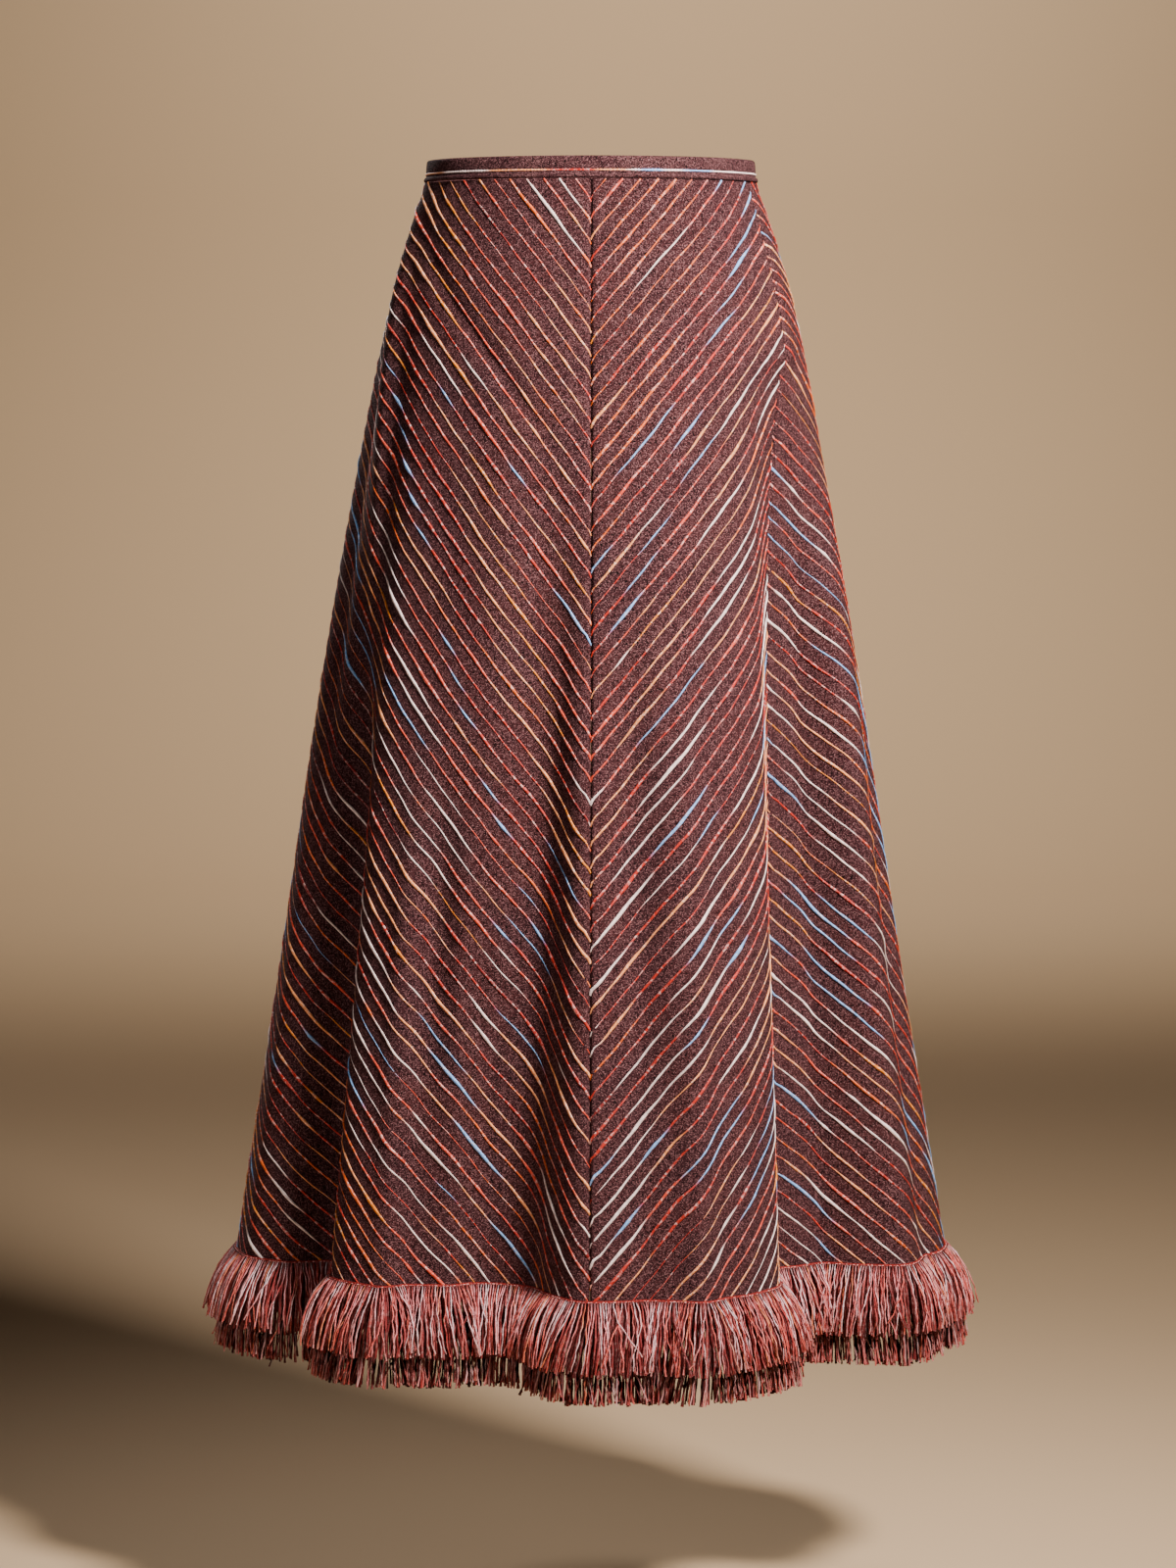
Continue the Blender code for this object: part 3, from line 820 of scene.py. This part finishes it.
# waistband: a folded band with a rolled lower edge and one slub yarn
band = {
    "columns": 220,
    "yarnDrop": 0.0098,
    "yarnGirth": (0.00050, 0.00100),
    "yarnLift": 0.00025,
    "yarnSamples": 1100,
    "yarnDips": (0.7, 0.010, 0.04),
    # where the yarn is at its thickest, over what length and by how much
    "thickSpot": (0.050, 0.020, 0.6),
    "beads": (0.30, 2600),
    "seed": 7,
}
# drop and distance out from the cloth's face, once round the band's section
bandSection = [
    (0.0000, -0.0010), (0.0002, -0.0001), (0.0010, 0.0005), (0.0030, 0.0006), (0.0060, 0.0006),
    (0.0084, 0.0005), (0.0093, 0.0002), (0.0098, 0.0001), (0.0103, 0.0002), (0.0109, 0.0004),
    (0.0113, 0.0001), (0.0117, 0.0001), (0.0122, 0.0009), (0.0130, 0.0014), (0.0140, 0.0015),
    (0.0149, 0.0010), (0.0155, 0.0000), (0.0154, -0.0010), (0.0140, -0.0016), (0.0080, -0.0016),
    (0.0020, -0.0016), (0.0004, -0.0015),
]


def bandPlaces():
    start = foldNames.index("centreBack")
    places = np.linspace(start, start + foldCount, band["columns"] + 1)
    points = outline(places, 0.0)
    arc = arcLength(points)
    arcs = np.linspace(form["seamGap"] / 2, arc[-1] - form["seamGap"] / 2, band["columns"])
    return np.interp(arcs, arc, places)


def bandLine(places, drop, lift):
    points = outline(places, drop)
    points = points + sideNormals(points, False) * lift
    return atDrop(points, drop)


def makeWaistband():
    places = bandPlaces()
    lines = [bandLine(places, drop, lift) for drop, lift in bandSection]
    count = len(places)
    rim = len(lines)
    faces = gridFaces(rim, count, wrapRows=True)
    faces.append([k * count for k in range(rim)][::-1])
    faces.append([k * count + count - 1 for k in range(rim)])
    item = meshObject("waistband_cloth", np.concatenate(lines), faces)
    faceOutward(item)
    shadeSmooth(item, 60)
    paint(item, bandCrepe)
    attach(item, "skirt")
    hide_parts("waistband")

    chance = random.Random(band["seed"])
    fine = np.interp(np.linspace(0, 1, band["yarnSamples"]), np.linspace(0, 1, len(places)), places)
    points = bandLine(fine, band["yarnDrop"], band["yarnLift"])
    facing = sideNormals(points[:, :2], False)
    facing = np.column_stack([facing, np.zeros(len(facing))])
    along = arcLength(points)
    front = along[-1] / 2
    # dye along the band, measured from the centre front towards the right
    stops = np.array([-0.40, -0.118, -0.075, -0.030, 0.004, 0.026, 0.034, 0.052, 0.066, 0.090, 0.40])
    picks = [dyes[k][0] for k in ("peach", "shell", "peach", "flame", "peach", "shell", "sky", "shell",
                                  "sky", "shell", "peach")]
    colours = dyeAt((stops, np.array(picks)), along - front)
    slubStops, sizes = slubAt(chance, dyeRun(chance, *band["yarnDips"]), 0.0, along[-1])
    slub = np.interp(along, slubStops, sizes) * 0.5
    spot, spread, swell = band["thickSpot"]
    slub += swell * np.exp(-((along - front - spot) / spread) ** 2)
    size, waves = band["beads"]
    beads = size * np.sin(along * waves)
    girth = fromTo(band["yarnGirth"], np.clip(slub + beads, 0, 1))
    paths = [{
        "points": points,
        "facing": facing,
        "girth": girth,
        "dye": colours,
        "mapU": 0.005 + 0.99 * along / along[-1],
        "mapV": np.full(len(points), 0.2),
    }]
    yarn = yarnObject("waistband_yarn", paths)
    yarn = runTree(yarn, sweepInlay, {"Height": 0.7, "Sides": 8, "Row Height": 0.5, "Material": inlayYarn})
    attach(yarn, "skirt")
    print("waistband", triangleCount(item) + triangleCount(yarn))


makeWaistband()

# two tiers of twisted yarn fringe round the hem
# near and deep dim each tier's near and back strands: painted shade; tipGlow changes how light the tips are
tiers = {
    "fringe_upper": {
        "count": 2520, "halves": 2, "rootDrop": 0.7806, "rootLift": (0.0004, 0.0028), "length": (0.0485, 0.0520),
        "lean": (10, 44), "droop": (2, 13), "straight": 0.0, "segments": (6, 14), "seed": 5,
        "deep": 0.50, "near": 0.88, "tipGlow": -0.30, "gather": 7.0, "slot": "fringe_yarn",
    },
    # the whole lower tier is dimmed as painted shade under the upper tier, and its tipGlow brightens the tips that
    # hang below that shade: painted light
    "fringe_lower": {
        "count": 3300, "halves": 2, "rootDrop": 0.7830, "rootLift": (-0.0042, -0.0018), "length": (0.0650, 0.0695),
        "lean": (8, 30), "droop": (0, 11), "straight": 0.14, "segments": (5, 10), "seed": 11,
        "deep": 0.25, "near": 0.30, "tipGlow": 0.8, "gather": 3.0, "slot": "fringe_yarn_deep",
    },
}
fringe = {
    "nearRadius": (0.00048, 0.00074),
    "deepRadius": (0.00088, 0.00114),
    "flat": 0.66,
    "turns": 230.0,
    "wave": (0.00020, 0.00060),
    "waveLength": (0.011, 0.018),
    "strayShare": 0.016,
    "clump": 0.014,
    "rootSamples": 2400,
    "swayWaves": (5, 9, 17, 31),
    "sway": 3.2,
    "nearEvery": 3,
    "straySide": (16, 34),
    "strayLean": (0, 16),
    "strayLength": (0.86, 1.10),
    # the next three are for a deep strand and for a near one
    "layers": ((0.0, 0.70), (0.80, 1.0)),
    "spread": (1.2, 4.2),
    "curl": (2.5, 8.0),
    # where the dye changes along a strand, and how far most strands keep to their first one
    "dyeKnots": ((0.008, 0.024), (0.028, 0.045), 0.075),
    "evenShare": 0.6,
    "evenDye": 0.65,
    "lumps": (0.14, 700),
    "rootGirth": 0.8,
    "tipGirth": 1.15,
}
yarnTones = [
    ((0.93, 0.30, 0.31), 0.26),
    ((0.99, 0.66, 0.67), 0.24),
    ((0.82, 0.13, 0.10), 0.26),
    ((0.50, 0.040, 0.036), 0.18),
    ((0.90, 0.24, 0.09), 0.06),
]
# darker reds for the strands behind the near ones: painted shade
shadedDeepTones = [
    ((0.48, 0.045, 0.044), 0.46),
    ((0.66, 0.095, 0.085), 0.30),
    ((0.28, 0.022, 0.022), 0.24),
]


def strandPaths(tier, chance):
    base, normals = hemLine(fringe["rootSamples"], tier["rootDrop"])
    closed = np.vstack([base, base[:1]])
    arc = arcLength(closed)
    total = arc[-1]
    sway = [(chance.uniform(0, fullTurn), k) for k in fringe["swayWaves"]]
    clumps = int(total / fringe["clump"])
    pull = [chance.uniform(-1, 1) for k in range(clumps + 1)]
    shift = [chance.uniform(0.2, 0.8) for k in range(clumps + 1)]
    for number in range(tier["count"]):
        at = total * ((number + chance.uniform(0, 1)) / tier["count"])
        place = np.interp(at, arc, np.arange(len(arc))) % len(base)
        i = int(place)
        j = (i + 1) % len(base)
        share = place - i
        root = base[i] * (1 - share) + base[j] * share
        normal = normals[i] * (1 - share) + normals[j] * share
        normal = normal / np.linalg.norm(normal)
        tangent = np.array([-normal[1], normal[0]])
        near = number % fringe["nearEvery"] == 0
        layer = chance.uniform(*fringe["layers"][near])
        lift = fromTo(tier["rootLift"], layer)
        lean = fromTo(tier["lean"], 0.25 * chance.random() + 0.75 * layer)
        droop = chance.uniform(*tier["droop"])
        length = chance.uniform(*tier["length"])
        swing = sum(math.sin(k * at / total * fullTurn + phase) for phase, k in sway) * fringe["sway"]
        clump = min(int(at / fringe["clump"]), clumps)
        inClump = at / fringe["clump"] - clump
        gather = (shift[clump] - inClump) * tier["gather"] * abs(pull[clump])
        side = swing + gather + chance.gauss(0, fringe["spread"][near])
        curl = chance.gauss(0, fringe["curl"][near])
        if chance.random() < fringe["strayShare"]:
            side += chance.choice((-1, 1)) * chance.uniform(*fringe["straySide"])
            lean += chance.uniform(*fringe["strayLean"])
            length *= chance.uniform(*fringe["strayLength"])
        steps = tier["segments"][near]
        t = np.linspace(0, 1, steps + 1)
        out = np.radians(droop + (lean - droop) * np.clip((1 - t) * 1.15, 0, 1) ** 1.25)
        out = out * np.clip((t - tier["straight"]) / 0.12 + 1, 0, 1) if tier["straight"] else out
        sideways = np.radians(side * np.clip(t * 2.2, 0, 1) + curl * np.sin(t * 5 + clump))
        step = length / steps
        direction = np.column_stack([np.sin(out), np.sin(sideways) * np.cos(out), -np.cos(sideways) * np.cos(out)])
        local = np.concatenate([[[0, 0, 0]], np.cumsum((direction[1:] + direction[:-1]) / 2 * step, axis=0)])
        wave = fullTurn * t * length / chance.uniform(*fringe["waveLength"]) + chance.uniform(0, fullTurn)
        wave = (np.sin(wave) * chance.uniform(*fringe["wave"]) * np.clip(t * 5, 0, 1))[:, None]
        xy = root + normal * (lift + wave * 0.5) + local[:, :1] * normal + (local[:, 1:2] + wave) * tangent
        points = np.column_stack([xy, heightAt(tier["rootDrop"]) + local[:, 2]])
        yield number, t * length, points, layer, near


def fringeTree():
    inputs = {"Flatness": 0.6, "Turns": 200.0, "Material": None}
    tree, board, entry = newGeometryTree("twistFringe", inputs)
    curve = board.node("GeometryNodeMeshToCurve", None, {"Mesh": entry["Geometry"]})
    turn = named(board, "along") * entry["Turns"] + named(board, "twistStart")
    tilted = board.node("GeometryNodeSetCurveTilt", None, {"Curve": curve, "Tilt": turn})
    across = named(board, "mapU") + named(board, "round") * named(board, "mapWide")
    sweepProfile(board, tilted, 4, (1.0, entry["Flatness"]), (across, named(board, "mapV")), entry["Material"])
    return tree


twistFringe = fringeTree()


def makeTier(name, tier):
    chance = random.Random(tier["seed"])
    parts = [[] for half in range(tier["halves"])]
    perPart = math.ceil(tier["count"] / tier["halves"])
    columns = math.ceil(math.sqrt(perPart * 4))
    rows = math.ceil(perPart / columns)
    for number, along, points, layer, near in strandPaths(tier, chance):
        half = min(number // perPart, tier["halves"] - 1)
        cell = len(parts[half])
        first, second, last = fringe["dyeKnots"]
        knots = np.array([0.0, chance.uniform(*first), chance.uniform(*second), last])
        tones, weights = zip(*(yarnTones if near else shadedDeepTones))
        picks = np.array([chance.choices(tones, weights)[0] for k in knots])
        if chance.random() < fringe["evenShare"]:
            picks[1:] = picks[0] * fringe["evenDye"] + picks[1:] * (1 - fringe["evenDye"])
        colours = np.column_stack([np.interp(along, knots, picks[:, k]) for k in range(3)])
        # the tier's near and deep values dim its strands, those further back the most: painted shade
        depth = tier["near"] if near else tier["deep"] * (0.5 + layer)
        reach = along / along[-1]
        # darker at the root; tipGlow then darkens the upper tier's tips and brightens the lower tier's tips out of its
        # painted shade
        tip = 1 - 0.45 * np.exp(-(reach / 0.09) ** 2) + tier["tipGlow"] * np.clip((reach - 0.70) / 0.25, 0, 1)
        warmth = 1 - np.outer(np.clip((reach - 0.6) / 0.4, 0, 1), (0.0, 0.22, 0.30))
        colours = colours * warmth * (depth * chance.uniform(0.75, 1.12) * tip)[:, None]
        radius = chance.uniform(*fringe["nearRadius" if near else "deepRadius"])
        size, waves = fringe["lumps"]
        girth = radius * (1 + size * np.sin(along * waves + cell))
        girth[0] *= fringe["rootGirth"]
        girth[-1] *= fringe["tipGirth"]
        parts[half].append({
            "points": points,
            "along": along,
            "girth": girth,
            "twistStart": np.full(len(along), chance.uniform(0, fullTurn)),
            "dye": np.clip(colours, 0, 1),
            "mapU": np.full(len(along), (cell % columns + 0.15) / columns),
            "mapWide": np.full(len(along), 0.7 / columns),
            "mapV": (cell // columns + 0.08 + 0.84 * along / along[-1]) / rows,
        })
    for part, side in zip(parts, ("right", "left")):
        yarns = yarnObject(f"{name}_{side}_yarns", part)
        yarns = runTree(yarns, twistFringe, {
            "Flatness": fringe["flat"], "Turns": fringe["turns"], "Material": fringeYarn,
        })
        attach(yarns, "skirt")
        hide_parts(name)
        print(name, side, len(part), "strands", triangleCount(yarns), "triangles")


for name, tier in tiers.items():
    makeTier(name, tier)

# heading of the fringe: a narrow woven strip with a row of stitches
heading = {
    "top": 0.7793,
    "bottom": 0.7885,
    "lift": 0.0004,
    "wall": 0.0007,
    "columns": 700,
    "stitchDrop": 0.7803,
    "stitchLength": 0.0021,
    "stitchSpacing": 0.0026,
    "stitchRadius": 0.00042,
    "stitchLift": 0.0002,
    "stitchSeed": 3,
}


def makeStrip():
    count = heading["columns"]
    inside = heading["lift"]
    outside = heading["lift"] + heading["wall"]
    corners = ((heading["top"], inside), (heading["top"], outside),
               (heading["bottom"], outside), (heading["bottom"], inside))
    lines = [atDrop(hemLine(count, drop, lift)[0], drop) for drop, lift in corners]
    strip = meshObject("fringe_heading", np.concatenate(lines), gridFaces(len(lines), count, True, True))
    faceOutward(strip)
    shadeSmooth(strip, 40)
    material, board, shader = newMaterial("dyedHeadingTape", 0.8, shine=0.1)
    where = board.where()
    weave = board.noise(where, 1400.0, 2.0)
    colour = board.mix(board.between(weave, 0.38, 0.62), (0.10, 0.008, 0.007, 1), (0.30, 0.028, 0.022, 1))
    dress(board, shader, colour, weave, 0.7, 0.0003)
    paint(strip, material)
    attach(strip, "skirt")
    return strip


def stitchTree():
    inputs = {
        "Spacing": heading["stitchSpacing"],
        "Length": heading["stitchLength"],
        "Radius": heading["stitchRadius"],
        "Seed": heading["stitchSeed"],
        "Material": None,
    }
    tree, board, entry = newGeometryTree("sewHeading", inputs)
    curve = board.node("GeometryNodeMeshToCurve", None, {"Mesh": entry["Geometry"]})
    spots = board.node("GeometryNodeCurveToPoints", {"mode": "LENGTH"}, {"Curve": curve, "Length": entry["Spacing"]})
    turned = Branch(board, spots.socket.node.outputs["Rotation"])
    ball = board.node("GeometryNodeMeshUVSphere", None, {"Segments": 6, "Rings": 5, "Radius": 1.0})
    size = board.node("ShaderNodeCombineXYZ", None,
                      {"X": entry["Radius"], "Y": entry["Radius"], "Z": entry["Length"] * 0.5})
    stitch = board.node("GeometryNodeTransform", None, {"Geometry": ball, "Scale": size})
    low = board.node("FunctionNodeRandomValue", {"data_type": "FLOAT"}, {2: 0.8, 3: 1.15, "Seed": entry["Seed"]}, 1)
    sewn = board.node("GeometryNodeInstanceOnPoints", None,
                      {"Points": spots, "Instance": stitch, "Rotation": turned, "Scale": low})
    closeGeometryTree(board, sewn, entry["Material"])
    return tree


def makeStitches():
    count = heading["columns"]
    drop = heading["stitchDrop"]
    points = hemLine(count, drop, heading["lift"] + heading["wall"] + heading["stitchLift"])[0]
    row = meshObject("fringe_stitches", atDrop(points, drop), [], [(i, (i + 1) % count) for i in range(count)])
    thread, board, shader = newMaterial("fringeRootLoops", 0.6, shine=0.2)
    where = board.where()
    ply = board.noise(where, 2600.0, 2.0)
    loops = board.noise(where, 330.0, 1.0)
    tone = board.mix(board.between(loops, 0.40, 0.62), (0.34, 0.035, 0.030, 1), (0.88, 0.36, 0.32, 1))
    plied = board.mix(board.between(ply, 0.60, 0.35) * 0.5, tone, (0.25, 0.08, 0.06, 1), "MULTIPLY")
    dress(board, shader, plied, ply, 0.5, 0.0002)
    row = runTree(row, stitchTree(), {
        "Spacing": heading["stitchSpacing"], "Length": heading["stitchLength"],
        "Radius": heading["stitchRadius"], "Seed": heading["stitchSeed"], "Material": thread,
    })
    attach(row, "skirt")
    return row


strip = makeStrip()
row = makeStitches()
print("heading", triangleCount(strip) + triangleCount(row))

# the zip's solids keep their shapes and get their finishes
tapeCloth = makeCrepe("zipTapeCloth", dict(crepeLook, ground=(0.045, 0.016, 0.016), pebble=1500.0))
for name, material in (("zip_slider", enamel), ("zip_pull", enamel), ("zip_tape", tapeCloth)):
    paint(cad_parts[name], material)

stage = {
    "floor": -1.02,
    "wall": 5.6,
    "bend": 1.2,
    "width": 18.0,
    "near": -9.0,
    "bendSteps": 14,
    "wallTop": 4.5,
    "tone": (0.47, 0.315, 0.178),
}


def makeStage():
    profile = [(stage["near"], 0.0)]
    turns = stage["bendSteps"]
    for k in range(turns + 1):
        a = math.radians(90 * k / turns)
        profile.append((stage["wall"] - stage["bend"] + stage["bend"] * math.sin(a),
                        stage["bend"] - stage["bend"] * math.cos(a)))
    profile.append((stage["wall"], stage["wallTop"]))
    points = []
    for side in (-1, 1):
        points += [(side * stage["width"] / 2, y, stage["floor"] + z) for y, z in profile]
    sweep = meshObject("studioSweep", points, gridFaces(2, len(profile)))
    shadeSmooth(sweep)
    material, board, shader = newMaterial("palePaper", 0.95)
    shader.inputs["Base Color"].default_value = (*stage["tone"], 1)
    paint(sweep, material)


# each lamp: where it stands, what it looks at, width, power, spread in degrees and tone
lights = {
    "key": ((0.84, -1.11, 0.66), (0.05, -0.10, -0.26), 0.38, 44, 112, (1.0, 0.97, 0.95)),
    "fill": ((-2.3, -2.3, 0.0), (-0.1, 0.0, -0.55), 1.4, 3.2, 60, (0.93, 0.97, 1.0)),
    "backdrop": ((0.3, 3.3, 2.0), (0.1, 5.6, -0.5), 1.4, 62, 120, (1.0, 0.97, 0.93)),
    "behind": ((-0.9, 2.0, 1.0), (0.0, 0.0, -0.40), 0.8, 5, 44, (1.0, 0.97, 0.94)),
}
world = {"strength": 0.02, "tone": (1.0, 0.93, 0.88, 1)}


def makeLights():
    for name, (place, target, width, power, spread, tone) in lights.items():
        data = bpy.data.lights.new(name, "AREA")
        data.shape = "DISK"
        data.size = width
        data.energy = power
        data.spread = math.radians(spread)
        data.color = tone
        lamp = newObject(name, data)
        lamp.location = place
        lamp.rotation_euler = (Vector(target) - Vector(place)).to_track_quat("-Z", "Y").to_euler()
        lamp.visible_camera = False
    sky = bpy.data.worlds.new("studio")
    bpy.context.scene.world = sky
    sky.use_nodes = True
    for key, value in (("Color", world["tone"]), ("Strength", world["strength"])):
        sky.node_tree.nodes["Background"].inputs[key].default_value = value


camera = {
    "place": (0.0, -3.2, -0.1425),
    "pitch": 5.2494,
    "lens": 102.5965,
    "sensor": 36.0,
    "axisColumn": 603.0,
    "middleColumn": 600.0,
    "pictureHeight": 1600.0,
}


def makeCamera():
    data = bpy.data.cameras.new("camera")
    data.lens = camera["lens"]
    data.sensor_width = camera["sensor"]
    data.sensor_fit = "AUTO"
    data.shift_x = (camera["middleColumn"] - camera["axisColumn"]) / camera["pictureHeight"]
    eye = newObject("camera", data)
    eye.location = camera["place"]
    eye.rotation_euler = (math.radians(90 - camera["pitch"]), 0, 0)
    bpy.context.scene.camera = eye


makeStage()
makeLights()
makeCamera()
print("stage, lights and camera made")
